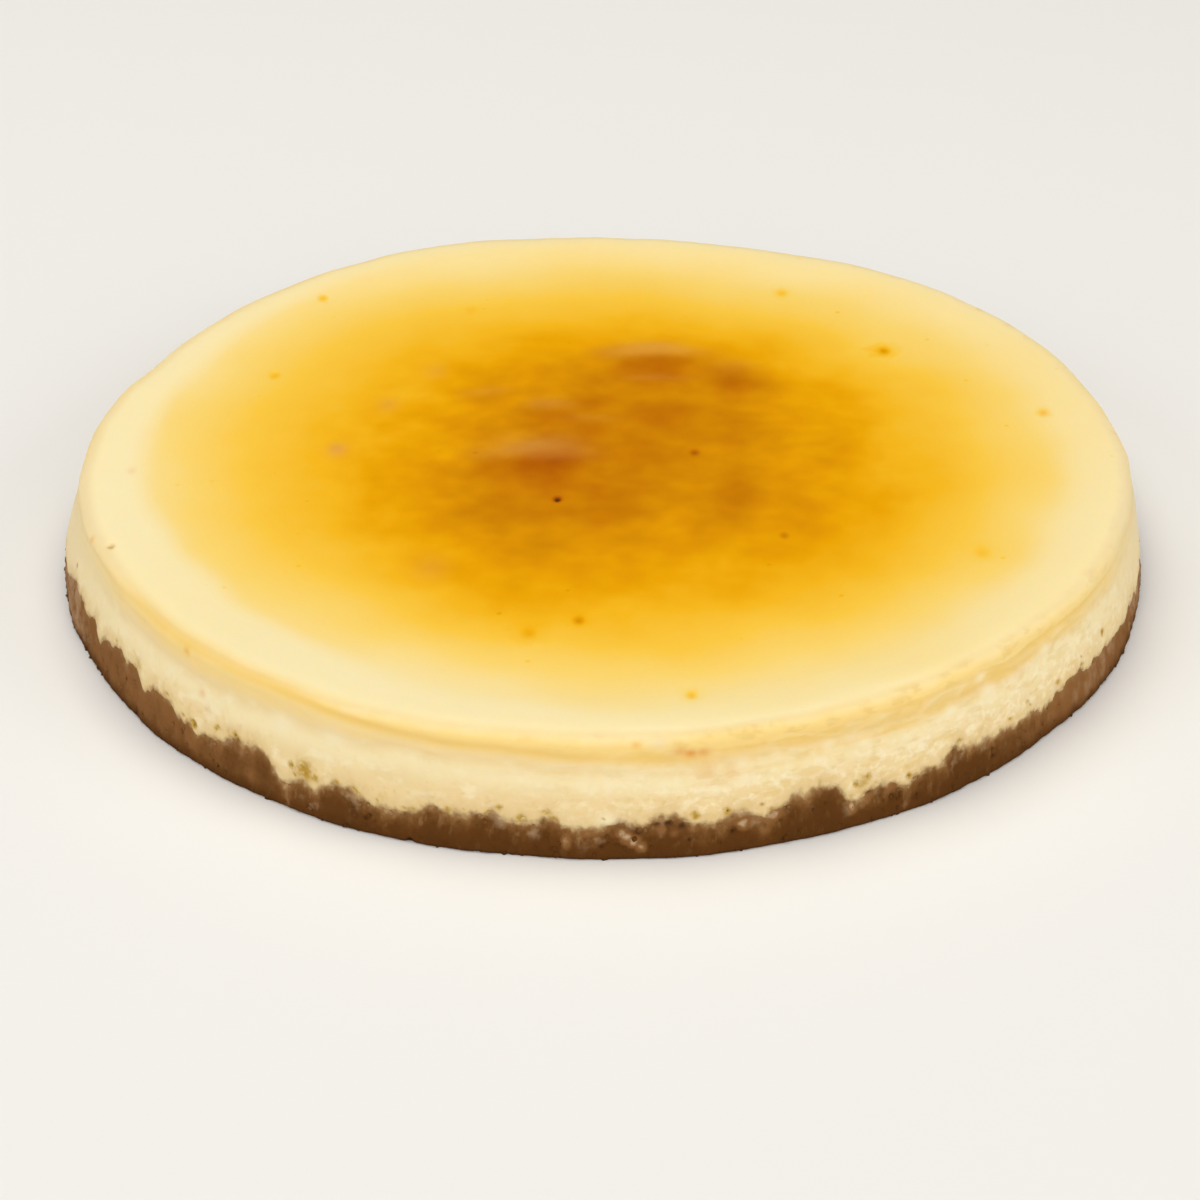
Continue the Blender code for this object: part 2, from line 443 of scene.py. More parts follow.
CUSTARD_DABS = dabs(
    SCORCH=(
        (224.5, 22.5, 0.9, 0.5, 0.2), (273, 23.2, 0.9, 0.4, 0.15), (199.5, 24.6, 0.8, 0.5, 0.15),
    ),
    PALE=(
        (227.5, 16, 0.9, 0.4, 0.15), (277.2, 21.6, 1.4, 0.6, 0.1, 0.6),
        (278.2, 21.3, 1.4, 0.95, 0.2, 0.6), (279.4, 21.1, 1.4, 0.7, 0.2, 0.6), (279.5, 17.5, 2.2, 0.25),
        (282, 16.8, 2, 0.16),
    ),
    # A painted highlight on the lip's crest at the front.
    RIM=(
        (275, 24.3, 2.2, 1, -0.15, 0.5),
    ),
    # Dents along the fold, darkened with painted shade.
    GROOVE=(
        (284, 19.3, 1.7, 0.6, 0.12, 0.6), (287, 19, 1.6, 0.6, 0.12, 0.6), (291, 20, 1.6, 0.6, 0.12, 0.6),
        (296, 19.3, 1.7, 0.7, 0.15, 0.6), (298.6, 18.7, 1.8, 0.8, 0.15, 0.7),
        (301, 18.1, 1.8, 0.8, 0.15, 0.7), (304, 19.4, 1.5, 0.6, 0.12, 0.6),
        (310.5, 19.6, 1.3, 0.6, 0.12, 0.6),
    ),
    # Raised pale lumps under the fold: painted highlight.
    HAZE=(
        (283, 17.9, 1.5, 0.7, -0.1, 0.6), (291.5, 18.3, 1.5, 0.7, -0.1, 0.6),
        (295.5, 17, 1.6, 0.8, -0.12, 0.6), (305.5, 17.6, 1.6, 0.8, -0.12, 0.6),
        (310.5, 17.7, 2, 1, -0.15, 0.7), (309.8, 21.3, 1.5, 0.8, -0.1, 0.7),
        (320, 18.8, 1.6, 0.8, -0.1, 0.6), (238, 17.8, 3.2, 0.7, -0.1, 0.5),
        (244, 17.9, 3.2, 0.7, -0.1, 0.5), (270.2, 9, 1.8, 1, -0.1, 0.8),
    ),
    # Pits, their cores darkened with painted shade.
    HOLLOW=(
        (240.8, 9.8, 2.5, 0.5, 0.1), (231.5, 12, 1.6, 0.2), (228.5, 13.5, 1.5, 0.16),
        (216.5, 12.5, 1.6, 0.3), (295, 9, 1.9, 0.35), (239.5, 9.6, 0.9, 0.65, 0.2),
        (240.6, 10.2, 0.7, 0.55, 0.15), (241, 8.9, 1.1, 0.7, 0.25), (242.2, 8.6, 0.9, 0.65, 0.2),
        (226.5, 8.6, 0.9, 1, 0.4), (232.5, 11, 0.7, 0.8, 0.25), (233, 9.6, 0.7, 0.9, 0.3),
        (244.5, 9.4, 0.6, 0.7, 0.2), (246.2, 9, 0.7, 0.6, 0.2), (255.5, 8.4, 0.7, 0.9, 0.3),
        (259.5, 8.2, 0.9, 1, 0.35), (262.5, 8, 0.8, 1, 0.35), (265.4, 7.9, 0.8, 0.9, 0.3),
        (264.8, 9.4, 0.8, 0.4, 0.1), (278.5, 9, 0.8, 0.8, 0.25), (281.5, 8.6, 0.8, 0.8, 0.25),
        (300, 7.4, 0.7, 0.8, 0.25), (294.4, 9.4, 0.9, 0.8, 0.3), (295.6, 10.2, 0.8, 0.6, 0.25),
        (331.5, 12, 0.8, 0.8, 0.25),
    ),
)
CRUST_DABS = dabs(
    # Holes and a crack, darkened with painted shade.
    HOLLOW=(
        (273.2, 5.6, 0.9, 0.8, 0.6), (273.9, 6.3, 0.9, 0.65, 0.3), (274.9, 7.1, 1, 0.6, 0.25, 0.7),
        (276, 7.4, 1.2, 0.65, 0.3, 0.7), (277.2, 6.8, 1.2, 0.65, 0.3, 0.8), (295.6, 7.4, 0.9, 0.8, 0.7),
        (297, 5.8, 0.8, 0.6, 0.6), (298.2, 4.2, 0.8, 0.5, 0.5), (207.5, 4.2, 0.8, 0.5, 0.4),
        (214, 6.8, 0.8, 0.4, 0.4), (258.6, 0.6, 0.6, 1, 0.8), (252, 0.6, 0.6, 1, 0.8),
    ),
    PALE=(
        (275.4, 6.2, 1, 0.6), (276.4, 5.4, 1.2, 0.4), (271.6, 5.4, 1.2, 0.9), (272.1, 4.5, 1.4, 0.9),
        (272.7, 3.6, 1.4, 0.9), (273.3, 2.7, 1.2, 0.8), (266.6, 3.9, 1, 0.8, 0, 2),
        (268.6, 5.6, 1.6, 0.6, 0, 0.6), (283, 6, 2, 0.8, 0, 0.7), (285.6, 6.4, 2.2, 0.95, 0, 0.6),
        (285, 3.6, 1.4, 0.4), (238.5, 5.4, 1.2, 0.5), (293.8, 5, 0.9, 0.9, 0, 2.2), (295.4, 6, 1.5, 0.5),
        (298.2, 6.4, 1.5, 0.55), (226, 5, 2.2, 0.5), (234.5, 4, 2.4, 0.4),
    ),
)


@dataclass(frozen=True)
class Crease:
    """A wavy line pressed into the side, mostly within one stretch of directions.

    The drop below the crest, wander, width and depth are in millimetres; the direction and spread
    are in degrees.
    """

    drop: float
    wander: float
    width: float
    depth: float
    direction: float
    spread: float

    def read(self, point: Vector, below: float, angle: float) -> Triple:
        """Reads the line.

        Args:
            point: A point of the round cake.
            below: Its millimetres below the crest.
            angle: Its direction in radians.

        Returns:
            Millimetres that it stands out, its painted shade in the groove and its painted highlight on the
            ridge.
        """
        ring = Vector((point.x, point.y, 0.01 * self.drop))
        line = below - self.drop - self.wander * wobble(ring, 26)
        if abs(line) > 5 * self.width:
            return 0.0, 0.0, 0.0
        share = toward(angle, self.direction, self.spread)
        share *= 1 + 0.6 * wobble(ring + Vector((0.2, 0.0, 0.0)), 17)
        groove, ridge = bell(line, self.width), bell(line - 2 * self.width, self.width)
        # Darker gold in the groove and paler on the ridge: painted shade and painted highlight.
        tint = min(self.depth / 0.2, 1.0) * share
        return self.depth * share * (0.5 * ridge - groove), tint * groove, tint * ridge


CREASES = tuple(
    Crease(*row)
    for row in (
        (3.1, 0.6, 0.85, 0.24, 246, 62), (3.1, 0.8, 0.7, 0.24, 96, 90), (0.9, 0.5, 0.45, 0.08, 302, 16),
        (4.6, 0.9, 0.5, 0.18, 318, 18), (2.2, 0.5, 0.4, 0.14, 286, 8), (5.2, 0.8, 0.45, 0.18, 297, 6.5),
        (4, 0.6, 0.4, 0.16, 308, 6), (2.9, 0.6, 0.4, 0.14, 325, 9), (6.3, 0.7, 0.35, 0.12, 287, 6),
        (6.2, 1.6, 0.5, 0.05, 262, 14), (5.4, 0.9, 0.5, 0.1, 40, 60), (5, 0.9, 0.5, 0.1, 165, 40),
    )
)


@dataclass(frozen=True)
class Spot:
    """A point of a turned mesh and where the real cake has it."""

    point: Vector
    radius: float
    angle: float
    place: Vector


class MarkedMesh:
    """A bmesh whose points carry marks for the finishes to read."""

    def __init__(self, marks: Iterable[Mark]) -> None:
        """Starts an empty mesh that is to carry some marks."""
        self.mesh = bmesh.new()
        self.marks = tuple(marks)

    def turn(self, profile: Profile, count: int) -> None:
        """Turns a profile round Z into a closed surface.

        Args:
            profile: Radius and height from one end on the axis to the other.
            count: Steps in the turn.
        """
        corners = [self.mesh.verts.new((radius, 0.0, height)) for radius, height in profile]
        edges = [self.mesh.edges.new(pair) for pair in zip(corners, corners[1:])]
        turning = {"cent": (0, 0, 0), "axis": (0, 0, 1), "angle": tau, "steps": count}
        bmesh.ops.spin(self.mesh, geom=corners + edges, use_merge=True, **turning)
        bmesh.ops.remove_doubles(self.mesh, verts=self.mesh.verts, dist=0.001 * MM)
        bmesh.ops.recalc_face_normals(self.mesh, faces=self.mesh.faces)

    def refine(self, radius: float, count: int) -> None:
        """Halves the steps of the wider rings and keeps them round.

        Args:
            radius: Rings up to this radius stay.
            count: Steps that the wider ones have.
        """
        wide = []
        for edge in self.mesh.edges:
            (first, low), (last, high) = ((v.co.xy.length, v.co.z) for v in edge.verts)
            if max(abs(first - last), abs(low - high)) < 0.001 * MM and first > radius:
                wide.append(edge)
        made = bmesh.ops.subdivide_edges(self.mesh, edges=wide, cuts=1, use_grid_fill=True)
        for item in made["geom_inner"]:
            if isinstance(item, bmesh.types.BMVert):
                item.co.xy *= 1 / cos(pi / count)

    def refine_round(self, centre: Vector, reach: float) -> None:
        """Divides in three the edges of the top that lie within reach of a point."""
        near = [edge for edge in self.mesh.edges if all((v.co - centre).length < reach for v in edge.verts)]
        bmesh.ops.subdivide_edges(self.mesh, edges=near, cuts=2, use_grid_fill=True)

    def add_marks(self) -> None:
        """Adds the mark layers, once the mesh has all its points."""
        for mark in self.marks:
            self.mesh.verts.layers.float.new(mark.value)
        self.mesh.verts.ensure_lookup_table()

    def layer(self, mark: Mark) -> bmesh.types.BMLayerItem:
        """Gives a mark's layer."""
        return self.mesh.verts.layers.float[mark.value]

    def shape(self, form: CakeForm, dress: Callable[[Spot], tuple[float, Marks]]) -> None:
        """Moves each point to where the real cake has it, and marks it.

        Args:
            form: The cake's form.
            dress: Gives how far a spot stands out, in metres, and its marks.
        """
        layers = {mark: self.layer(mark) for mark in self.marks}
        for vertex in self.mesh.verts:
            point = vertex.co.copy()
            radius, angle = hypot(point.x, point.y), atan2(point.y, point.x)
            spot = Spot(point, radius, angle, form.place(radius, angle, point.z))
            push, marks = dress(spot)
            vertex.co = spot.place + outward(angle) * push
            for mark, value in marks.items():
                vertex[layers[mark]] = value

    def dab(self, tree: KDTree, centre: Vector, dab: Dab, stretch: Sequence[float]) -> None:
        """Presses a feature into the surface and marks its colour.

        Args:
            tree: Tree of the mesh's points.
            centre: Its middle, in metres.
            dab: The feature.
            stretch: How many times longer it is along each axis.
        """
        layer, size = self.layer(dab.mark), dab.radius * MM
        for place, index, _ in tree.find_range(centre, 2.2 * size * max(stretch)):
            vertex = self.mesh.verts[index]
            fade = bell(Vector(a / b for a, b in zip(place - centre, stretch)).length, size)
            vertex.co -= vertex.normal * dab.depth * MM * fade
            vertex[layer] = max(vertex[layer], dab.strength * fade)

    def press(self, form: CakeForm, side: Dabs, top: Dabs = (), top_from: float = 0) -> None:
        """Presses features into the shaped mesh.

        Args:
            form: The cake's form.
            side: Features of the side.
            top: Features of the top.
            top_from: Height above which the mesh is the top.
        """
        self.mesh.normal_update()
        points = [vertex.co.copy() for vertex in self.mesh.verts]
        tree = tree_of(points)
        flat = tree_of([Vector((p.x, p.y, 0.0 if p.z > top_from else 1.0)) for p in points])
        for dab in top:
            self.dab(flat, Vector((dab.across * MM, dab.up * MM, 0.0)), dab, TOP_STRETCH)
        for dab in side:
            height, angle = dab.up * MM, radians(dab.across)
            reach = form.wall(height) * form.outline.at(angle) / form.radius
            aim = outward(angle, reach, height)
            self.dab(tree, tree.find(aim)[0], dab, (1, 1, dab.tall))

    def piece(self, name: str, finish: bpy.types.Material, slot: Slot) -> bpy.types.Object:
        """Finishes the mesh as a smooth piece that rides on the cake's body.

        Args:
            name: The piece's name.
            finish: Its material.
            slot: Not used.

        Returns:
            The object.
        """
        data = bpy.data.meshes.new(name)
        self.mesh.to_mesh(data)
        self.mesh.free()
        data.materials.append(finish)
        data.shade_smooth()
        obj = linked(name, data)
        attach(obj, BODY)
        return obj


def linked(name: str, data: bpy.types.ID) -> bpy.types.Object:
    """Puts a mesh, lamp or camera into the scene as an object at the origin."""
    obj = bpy.data.objects.new(name, data)
    bpy.context.scene.collection.objects.link(obj)
    return obj


def tree_of(points: Sequence[Vector]) -> KDTree:
    """Builds a search tree that gives points by index."""
    tree = KDTree(len(points))
    for index, point in enumerate(points):
        tree.insert(point, index)
    tree.balance()
    return tree


@dataclass
class Custard:
    """The set custard: a baked skin on top, a soft lip, creases and a smeared side."""

    form: CakeForm
    seed: int = 11
    turns: int = 75
    finer_from: tuple[float, ...] = (10 * MM, 20 * MM, 80 * MM, 111 * MM)
    dish: float = 0.8 * MM
    lip_spread: float = 2 * MM
    shoulder: float = 2.2 * MM
    droop: float = 0.35 * MM
    droop_width: float = 5 * MM
    folds: Swell = Swell(306, 34, 0.8)
    tuck: float = 3.6 * MM
    rim_width: float = 2 * MM
    rim_spread: float = 13.2 * MM
    rim_direction: float = 212
    rim_half: float = 64
    pit_count: int = 100

    def profile(self) -> Profile:
        """Draws the section from the middle of the top, over the lip and back under the side.

        Returns:
            Radius and height of its corners.
        """
        form = self.form
        radii = steps(0, 66 * MM, 1.1 * MM) + steps(66 * MM, 104 * MM, 1.6 * MM)
        radii += steps(104 * MM, form.lip, 0.7 * MM)
        rows = [(radius, self.skin_height(radius)) for radius in radii]
        for turn in (0.5 * pi * share for share in steps(0, 1, 1 / 7)):
            fall = (self.shoulder - self.droop) * (1 - cos(turn))
            rows.append((form.lip + self.lip_spread * sin(turn), form.crest - self.droop - fall))
        middle, foot = form.crest - 9 * MM, form.joint - self.tuck
        heights = steps(form.crest - self.shoulder, middle, 0.48 * MM) + steps(middle, foot, 0.62 * MM)
        rows += [(self.side_radius(height), height) for height in heights]
        wall = form.wall(foot)
        rows += [(wall - 0.6 * MM, foot), (wall - 3 * MM, foot), (wall - 5 * MM, form.joint)]
        return rows + [(0.5 * form.radius, form.joint), (0.0, form.joint)]

    def skin_height(self, radius: float) -> float:
        """Gives the height of the dished top at a radius."""
        form, outer = self.form, min(max(1 - (self.form.lip - radius) / self.droop_width, 0.0), 1.0)
        return form.crest - self.dish * (1 - ease(95 * MM, form.lip, radius)) - self.droop * outer**2

    def side_radius(self, height: float) -> float:
        """Gives the side's radius at a height, from the shoulder down past the crease."""
        form, lip_side = self.form, self.form.lip + self.lip_spread
        if height <= form.crease:
            return form.wall(height)
        fall = ease(form.crest - self.shoulder, form.crease, height)
        return lip_side + (form.wall(form.crease) - lip_side) * fall

    def skin_relief(self, x: float, y: float) -> Triple:
        """Reads the baked skin.

        Args:
            x: Metres across.
            y: Metres away from the front.

        Returns:
            Height in metres, scorch and painted highlight.
        """
        point = Vector((x, y, 0.0))
        bend = Vector((wobble(point, 9), wobble(point + Vector((0.3, 0.1, 0.0)), 9), 0.0))
        warped = point / MM + bend * 1.8
        blisters = [blister.read(warped.x, warped.y) for blister in BLISTERS]
        height = 0.3 * wobble(point, 47) + 0.07 * wobble(point, 11)
        height += 0.02 * wobble(point, 2.6) + sum(row[0] for row in blisters)
        scorch = sum(cloud.read(warped.x, warped.y) for cloud in CLOUDS)
        return height * MM, scorch + sum(row[1] for row in blisters), max(row[2] for row in blisters)

    def rim_and_highlight_share(self, radius: float, angle: float, place: Vector) -> float:
        """Tells how far a point is into the rim that the tin kept pale, and into the painted highlight
        along the lip's crest.

        Args:
            radius: Its distance from the axis in the round cake.
            angle: Its direction in radians.
            place: Where it is on the real cake.

        Returns:
            A share from 0 to 1.
        """
        lip, turn = self.form.lip, turn_from(angle, self.rim_direction)
        share = bell(turn, self.rim_half if turn > 0 else 1.2 * self.rim_half)
        inner = lip - self.rim_width - self.rim_spread * share + 2 * MM * wobble(place, 18)
        inner += 2.2 * MM * toward(angle, 188, 18) - 1.6 * MM * toward(angle, 228, 9)
        kept = ease(inner - 3.8 * MM, inner + 3.8 * MM, radius) * (0.35 + 0.65 * share)
        kept *= 1 - 0.22 * toward(angle, 218, 18)
        right = ease(97 * MM, 107 * MM, radius + 2 * MM * wobble(place, 14))
        kept = max(kept, 0.55 * toward(angle, 344, 30) * right)
        kept *= 1 - ease(lip - 3 * MM, lip - 1 * MM, radius) * toward(angle, 231, 16)
        # Painted highlight along the lip's crest, strongest at the front.
        crest = bell(radius - lip + 2 * MM, 1.3 * MM) * (0.8 + 0.5 * wobble(place, 12))
        return min(max(kept, crest * toward(angle, 276, 40)), 1.0)

    def side_relief(self, point: Vector, angle: float) -> Triple:
        """Reads the side below the lip: creases, smears and slow bulges.

        Args:
            point: A point of the round cake.
            angle: Its direction in radians.

        Returns:
            Metres that it stands out, its painted shade in the grooves and its painted highlight on the
            ridges.
        """
        below = (self.form.crest - point.z) / MM
        tilted = point + Vector((0.0, 0.0, 2 * MM * wobble(point, 15)))
        push = 0.07 * wobble(tilted, 9, 3) + 0.05 * wobble(point, 2.6)
        push += 0.2 * wobble(point, 24, 9)
        share = 0.2 + self.folds.at(angle)
        push += 0.15 * share * ease(1, 3, below) * wobble(point, 1.9)
        share *= ease(1.8, 3.6, below) * (1 - ease(6, 11, below))
        fold = wobble(tilted, 12, 2.4)
        push += 0.34 * share * (bell(fold, 0.16) - 0.3)
        lines = [crease.read(point, below - self.form.sag(angle), angle) for crease in CREASES]
        push += sum(line[0] for line in lines)
        # Painted shade in the creases and folds, and under the lip at the left front.
        dip = 0.9 * sum(line[1] for line in lines) + 0.45 * share * (1 - bell(fold, 0.2))
        dip += 0.7 * toward(angle, 229, 10) * (1 - ease(0.4, 2.4, below))
        dip *= 1 - 0.6 * toward(angle, 198, 12)
        # Painted highlight on the ridges of the creases and folds that face the front.
        crest = 0.6 * toward(angle, 272, 42) * sum(line[2] for line in lines)
        return push * MM, min(dip, 1.0), min(crest + 0.6 * share * bell(fold, 0.13), 1.0)

    def dress(self, spot: Spot) -> tuple[float, Marks]:
        """Shapes a point into the real custard's skin or side.

        Args:
            spot: The point, whose place this lifts with the skin.

        Returns:
            Metres that it stands out, and its marks.
        """
        form, point, place = self.form, spot.point, spot.place
        if point.z <= form.joint + 0.1 * MM and spot.radius < form.wall(form.joint) - 2 * MM:
            return 0.0, {}
        side, rim, scorch, pale = 1.0, form.end_share(spot.angle), 0.0, 0.0
        if spot.radius < form.lip + self.lip_spread and point.z > form.crest - self.shoulder:
            side = ease(form.lip - 2.2 * MM, form.lip + 0.8 * MM, spot.radius)
            lift, scorch, pale = self.skin_relief(place.x, place.y)
            fade = 1 - ease(form.lip - 3 * MM, form.lip + self.lip_spread, spot.radius)
            nick = 0.16 * wobble(place, 9) + 0.07 * wobble(place, 3)
            place.z += lift * fade + nick * bell(spot.radius - form.lip, 3 * MM) * MM
            rim += (self.rim_and_highlight_share(spot.radius, spot.angle, place) - rim) * (1 - side)
        relief, groove, ridge = self.side_relief(point, spot.angle)
        edge = form.crumb_edge(point, point.z)
        marks = {Mark.WALL: side, Mark.SCORCH: scorch, Mark.PALE: pale, Mark.GROOVE: groove * side}
        marks |= {Mark.RIM: max(rim, ridge * side), Mark.EDGE: min(edge / MM, 9.0)}
        return relief * side - 0.5 * MM * (1 - ease(-1.2 * MM, 0.2 * MM, edge)), marks

    def pits(self) -> Iterator[Dab]:
        """Scatters pits over the crumb line.

        Yields:
            The pits.
        """
        form, draw, rim = self.form, random.Random(self.seed), self.form.wall(self.form.joint)
        for _ in range(self.pit_count):
            turn, size = draw.uniform(0, 360), draw.uniform(0.4, 0.9)
            angle = radians(turn)
            edge = form.crumb_edge(outward(angle, rim, form.joint), form.joint)
            height = (form.crumb_line.at(angle) - edge) / MM + 0.6 + draw.expovariate(1.2)
            strength, tall = draw.uniform(0.15, 0.65), draw.uniform(0.5, 1)
            yield Dab(Mark.HOLLOW, turn, height, size, strength, 0.35 * size, tall)

    def build(self) -> bpy.types.Object:
        """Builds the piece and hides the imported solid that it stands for.

        Returns:
            The finished piece.
        """
        marked = MarkedMesh(Mark)
        marked.turn(self.profile(), self.turns)
        for step, radius in enumerate(self.finer_from):
            marked.refine(radius, self.turns * 2**step)
        for dab in TOP_DABS:
            height = self.skin_height(hypot(dab.across, dab.up) * MM)
            centre = Vector((dab.across * MM, dab.up * MM, height))
            marked.refine_round(centre, dab.radius * MM + 2.2 * MM)
        marked.add_marks()
        marked.shape(self.form, self.dress)
        top_from = self.form.crest - self.shoulder
        marked.press(self.form, chain(CUSTARD_DABS, self.pits()), TOP_DABS, top_from)
        piece = marked.piece("custard", CustardFinish("baked_custard").finished(), Slot.CUSTARD)
        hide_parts(Layer.FILLING.value)
        return piece


@dataclass
class BiscuitBase:
    """The pressed crumb base: a rough wall with a ragged upper edge."""

    form: CakeForm
    seed: int = 23
    edge_round: float = 0.5 * MM
    fin: float = 4.2 * MM
    cell: float = 0.4 * MM
    turns: int = 1700
    hole_count: int = 40

    def profile(self) -> Profile:
        """Draws the section from the middle of the underside, up the wall and back.

        Returns:
            Radius and height of its corners.
        """
        form, low, rim = self.form, self.form.joint - 0.3 * MM, self.form.joint + self.fin
        rows = [(0.0, 0.0), (0.5 * form.radius, 0.0), (0.93 * form.radius, 0.0)]
        rows.append((form.radius - 2.2 * self.edge_round, 0.0))
        for turn in (0.5 * pi * share for share in steps(0, 1, 0.25)):
            out = form.radius - self.edge_round * (1 - sin(turn))
            rows.append((out, self.edge_round * (1 - cos(turn))))
        rows += [(form.wall(z), z) for z in steps(self.edge_round, rim, self.cell)]
        back = form.wall(rim)
        rows += [(back - 0.4 * MM, rim), (back - 2 * MM, rim), (back - 3.5 * MM, low)]
        return rows + [(0.5 * form.radius, low), (0.0, low)]

    def relief(self, point: Vector) -> float:
        """Reads how far the pressed crumbs stand out at a point of the wall, in metres."""
        columns = 0.4 * wobble(point, 3.4, 9) + 0.2 * wobble(point, 8)
        cells = noise.voronoi(point / (1.7 * MM))[0][0]
        return (columns + 0.3 * (0.45 - cells) + 0.15 * wobble(point, 0.9)) * MM

    def dress(self, spot: Spot) -> tuple[float, Marks]:
        """Shapes a point into the rough base.

        Args:
            spot: The point.

        Returns:
            Metres that it stands out, and its marks.
        """
        form, point = self.form, spot.point
        if spot.radius < form.wall(point.z) - 0.8 * MM:
            return 0.0, {Mark.EDGE: -5.0}
        edge = form.crumb_edge(point, point.z)
        calm = 1 - 0.6 * ease(-1.5 * MM, 0.3 * MM, edge)
        push = self.relief(point) * calm * ease(-0.6 * MM, 1 * MM, point.z)
        push -= 0.3 * MM * ease(-1 * MM, 0.4 * MM, edge)
        push -= 1.3 * MM * ease(0.7 * MM, 1.7 * MM, edge)
        return push, {Mark.EDGE: max(edge / MM, -9.0), Mark.HAZE: form.haze(spot.angle)}

    def holes(self) -> Iterator[Dab]:
        """Scatters holes between the crumbs."""
        draw = random.Random(self.seed)
        for _ in range(self.hole_count):
            turn, height = draw.uniform(0, 360), draw.uniform(0.1, 0.8) * self.form.joint / MM
            size = draw.uniform(0.35, 0.7)
            yield Dab(Mark.HOLLOW, turn, height, size, draw.uniform(0.3, 0.8), 0.8 * size)

    def build(self) -> bpy.types.Object:
        """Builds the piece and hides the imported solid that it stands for.

        Returns:
            The finished piece.
        """
        marked = MarkedMesh(CrumbFinish.marks)
        marked.turn(self.profile(), self.turns)
        marked.add_marks()
        marked.shape(self.form, self.dress)
        marked.press(self.form, chain(CRUST_DABS, self.holes()))
        piece = marked.piece("crumb_base", CrumbFinish("biscuit_crumb").finished(), Slot.CRUMB)
        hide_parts(Layer.BASE.value)
        return piece


@dataclass
class LooseCrumbs:
    """Broken crumbs that stand out of the pressed wall, joined as one piece."""

    form: CakeForm
    seed: int = 37
    count: int = 900
    smallest: float = 0.3 * MM
    largest: float = 0.8 * MM

    def build(self) -> bpy.types.Object:
        """Scatters the crumbs over the wall.

        Returns:
            The finished piece.
        """
        form, draw = self.form, random.Random(self.seed)
        marked = MarkedMesh(CrumbFinish.marks)
        marked.add_marks()
        for _ in range(self.count):
            turn = draw.uniform(0, tau)
            height = form.joint * draw.uniform(0.05, 1) ** 1.4
            size = self.smallest + (self.largest - self.smallest) * draw.random() ** 2
            wall = form.wall(height)
            edge = form.crumb_edge(outward(turn, wall, height), height)
            if edge > -0.5 * MM:
                continue
            place = form.place(wall - 0.5 * size, turn, height)
            made = bmesh.ops.create_icosphere(marked.mesh, subdivisions=1, radius=size)
            stretch = Vector([draw.uniform(0.7, 1.2) for _ in range(3)])
            for vertex in made["verts"]:
                ragged = Vector([draw.uniform(-0.22, 0.22) for _ in range(3)]) * size
                vertex.co = Vector(a * b for a, b in zip(vertex.co, stretch)) + ragged + place
                vertex.co.z = max(vertex.co.z, 0.05 * MM)
                vertex[marked.layer(Mark.EDGE)] = max(edge / MM, -9.0)
                vertex[marked.layer(Mark.HAZE)] = form.haze(turn)
        return marked.piece("loose_crumbs", CrumbFinish("biscuit_crumb").finished(), Slot.CRUMB)


@dataclass(frozen=True)
class Wire:
    """A value in a material's nodes, which can be added to and multiplied."""

    sheet: NodeSheet
    socket: bpy.types.NodeSocket

    def __add__(self, other: Wire | float) -> Wire:
        """Adds another value or a number."""
        return self.sheet.add("Math", {0: self, 1: other}, operation="ADD")

    def __mul__(self, other: Wire | float) -> Wire:
        """Multiplies by another value or a number."""
        return self.sheet.add("Math", {0: self, 1: other}, operation="MULTIPLY")


